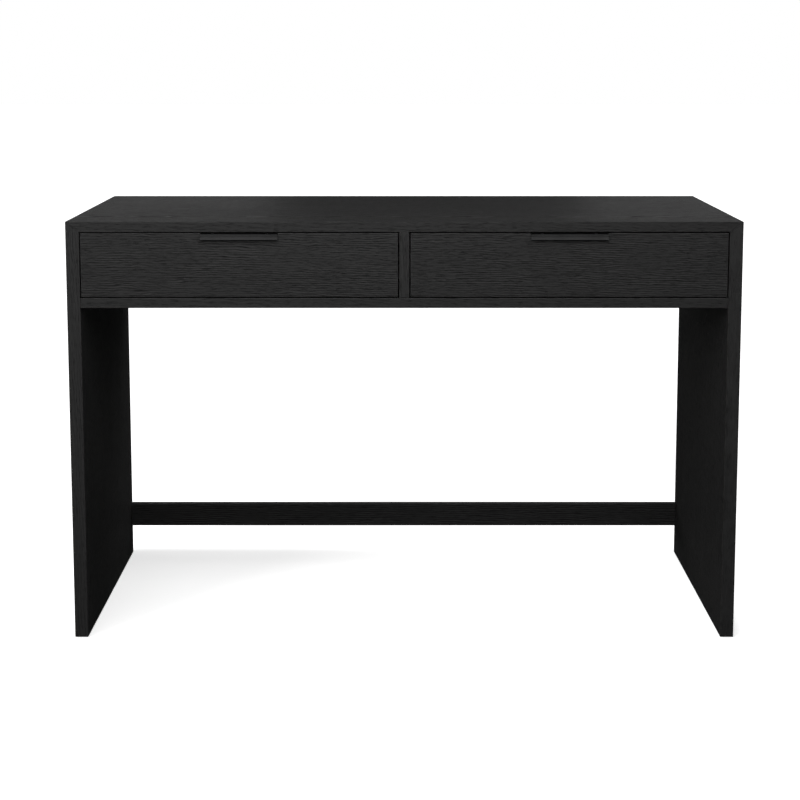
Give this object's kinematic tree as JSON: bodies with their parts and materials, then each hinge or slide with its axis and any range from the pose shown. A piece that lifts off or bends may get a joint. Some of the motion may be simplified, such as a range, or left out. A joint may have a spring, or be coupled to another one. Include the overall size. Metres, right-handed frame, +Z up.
{
  "type": "writing desk with drawers",
  "caption": "Writing desk: mitred black oak case on two panel legs with a low rear stretcher, and inset drawers with slim edge pulls on ball-bearing slides.",
  "frame": {"origin": "on the floor, at the middle of the footprint with the pulls counted in", "axes": "+X to the right along the desk's length, -Y towards the sitter, +Z up"},
  "size_m": [1.2, 0.568, 0.762],
  "materials": {
    "black_oak": "black-stained open-grain oak veneer, satin lacquer",
    "drawer_board": "charcoal-stained plywood, matt",
    "black_metal": "black powder coat, fine texture",
    "slide_zinc": "bright zinc plate on cold-rolled steel",
    "screw_steel": "zinc plate",
    "ball_cage": "pressed steel, oiled",
    "cam_zinc": "die-cast zinc, dull",
    "nylon": "moulded nylon, matt"
  },
  "bodies": {
    "carcass": {"top_panel": "black_oak", "left_side_panel": "black_oak", "right_side_panel": "black_oak", "case_bottom_panel": "black_oak", "centre_divider": "black_oak", "case_back_panel": "black_oak", "rear_stretcher": "black_oak", "left_front_foot_glide": "nylon", "left_rear_foot_glide": "nylon", "right_front_foot_glide": "nylon", "right_rear_foot_glide": "nylon", "left_front_case_cam_lock": "cam_zinc", "left_rear_case_cam_lock": "cam_zinc", "right_front_case_cam_lock": "cam_zinc", "right_rear_case_cam_lock": "cam_zinc", "left_stretcher_cam_lock": "cam_zinc", "right_stretcher_cam_lock": "cam_zinc", "left_drawer_left_case_rail": "slide_zinc", "left_drawer_right_case_rail": "slide_zinc", "right_drawer_left_case_rail": "slide_zinc", "right_drawer_right_case_rail": "slide_zinc"},
    "left_drawer": {"left_drawer_front": "black_oak", "left_drawer_edge_pull": "black_metal", "left_drawer_pull_left_screw": "screw_steel", "left_drawer_pull_right_screw": "screw_steel", "left_drawer_box_front": "drawer_board", "left_drawer_box_left_side": "drawer_board", "left_drawer_box_right_side": "drawer_board", "left_drawer_box_back": "drawer_board", "left_drawer_box_bottom": "drawer_board", "left_drawer_front_left_screw": "screw_steel", "left_drawer_front_right_screw": "screw_steel", "left_drawer_left_drawer_rail": "slide_zinc", "left_drawer_right_drawer_rail": "slide_zinc"},
    "left_drawer_middle_rails": {"left_drawer_left_middle_rail": "slide_zinc", "left_drawer_right_middle_rail": "slide_zinc"},
    "left_drawer_outer_cages": {"left_drawer_left_outer_cage": "ball_cage", "left_drawer_right_outer_cage": "ball_cage"},
    "left_drawer_inner_cages": {"left_drawer_left_inner_cage": "ball_cage", "left_drawer_right_inner_cage": "ball_cage"},
    "right_drawer": {"right_drawer_front": "black_oak", "right_drawer_edge_pull": "black_metal", "right_drawer_pull_left_screw": "screw_steel", "right_drawer_pull_right_screw": "screw_steel", "right_drawer_box_front": "drawer_board", "right_drawer_box_left_side": "drawer_board", "right_drawer_box_right_side": "drawer_board", "right_drawer_box_back": "drawer_board", "right_drawer_box_bottom": "drawer_board", "right_drawer_front_left_screw": "screw_steel", "right_drawer_front_right_screw": "screw_steel", "right_drawer_left_drawer_rail": "slide_zinc", "right_drawer_right_drawer_rail": "slide_zinc"},
    "right_drawer_middle_rails": {"right_drawer_left_middle_rail": "slide_zinc", "right_drawer_right_middle_rail": "slide_zinc"},
    "right_drawer_outer_cages": {"right_drawer_left_outer_cage": "ball_cage", "right_drawer_right_outer_cage": "ball_cage"},
    "right_drawer_inner_cages": {"right_drawer_left_inner_cage": "ball_cage", "right_drawer_right_inner_cage": "ball_cage"}
  },
  "joints": [
    {"name": "left_drawer_slide", "type": "slide", "parent": "carcass", "child": "left_drawer", "axis": [0, -1, 0], "range_m": [0, 0.44]},
    {"name": "left_drawer_middle_rails_slide", "type": "slide", "parent": "carcass", "child": "left_drawer_middle_rails", "axis": [0, -1, 0], "range_m": [0, 0.22]},
    {"name": "left_drawer_outer_cages_slide", "type": "slide", "parent": "carcass", "child": "left_drawer_outer_cages", "axis": [0, -1, 0], "range_m": [0, 0.11]},
    {"name": "left_drawer_inner_cages_slide", "type": "slide", "parent": "carcass", "child": "left_drawer_inner_cages", "axis": [0, -1, 0], "range_m": [0, 0.33]},
    {"name": "right_drawer_slide", "type": "slide", "parent": "carcass", "child": "right_drawer", "axis": [0, -1, 0], "range_m": [0, 0.44]},
    {"name": "right_drawer_middle_rails_slide", "type": "slide", "parent": "carcass", "child": "right_drawer_middle_rails", "axis": [0, -1, 0], "range_m": [0, 0.22]},
    {"name": "right_drawer_outer_cages_slide", "type": "slide", "parent": "carcass", "child": "right_drawer_outer_cages", "axis": [0, -1, 0], "range_m": [0, 0.11]},
    {"name": "right_drawer_inner_cages_slide", "type": "slide", "parent": "carcass", "child": "right_drawer_inner_cages", "axis": [0, -1, 0], "range_m": [0, 0.33]}
  ],
  "couplings": [
    {"joint": "left_drawer_middle_rails_slide", "follows": "left_drawer_slide", "ratio": 0.5},
    {"joint": "left_drawer_outer_cages_slide", "follows": "left_drawer_slide", "ratio": 0.25},
    {"joint": "left_drawer_inner_cages_slide", "follows": "left_drawer_slide", "ratio": 0.75},
    {"joint": "right_drawer_middle_rails_slide", "follows": "right_drawer_slide", "ratio": 0.5},
    {"joint": "right_drawer_outer_cages_slide", "follows": "right_drawer_slide", "ratio": 0.25},
    {"joint": "right_drawer_inner_cages_slide", "follows": "right_drawer_slide", "ratio": 0.75}
  ]
}
